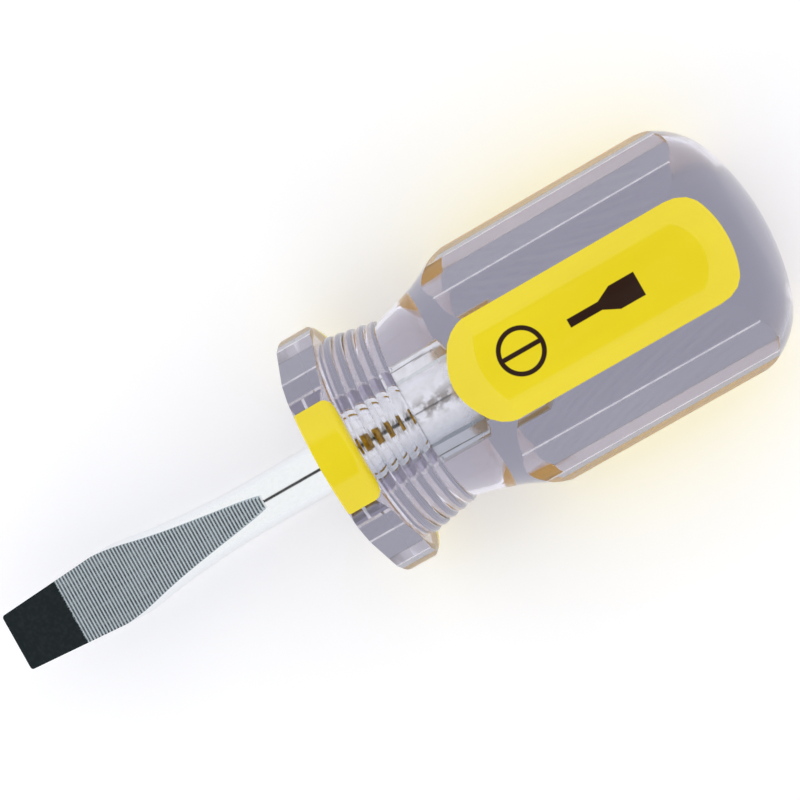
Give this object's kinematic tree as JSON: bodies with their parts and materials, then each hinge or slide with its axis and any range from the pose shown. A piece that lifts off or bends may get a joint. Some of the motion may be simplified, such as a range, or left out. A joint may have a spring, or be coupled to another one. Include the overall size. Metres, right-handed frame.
{
  "type": "stubby slotted screwdriver",
  "caption": "Stubby slotted screwdriver: a short chromed flat blade keyed into a clear faceted handle with yellow inlays, a front flange and a beaded neck.",
  "frame": {"origin": "centre of the blade tip's flat end face, on the tool's axis", "axes": "+X along the tool's axis from the tip to the butt, +Y across the blade's width, +Z out of the top yellow flat"},
  "size_m": [0.0872, 0.0266, 0.0252],
  "materials": {
    "chromed_steel": "polished",
    "clear_plastic": "gloss",
    "yellow_plastic": "gloss"
  },
  "bodies": {
    "root": {"blade": "chromed_steel", "handle_body": "clear_plastic", "barrel_inlay_top": "yellow_plastic", "barrel_inlay_left": "yellow_plastic", "barrel_inlay_right": "yellow_plastic", "flange_inlay_top": "yellow_plastic", "flange_inlay_left": "yellow_plastic", "flange_inlay_right": "yellow_plastic"}
  },
  "joints": []
}
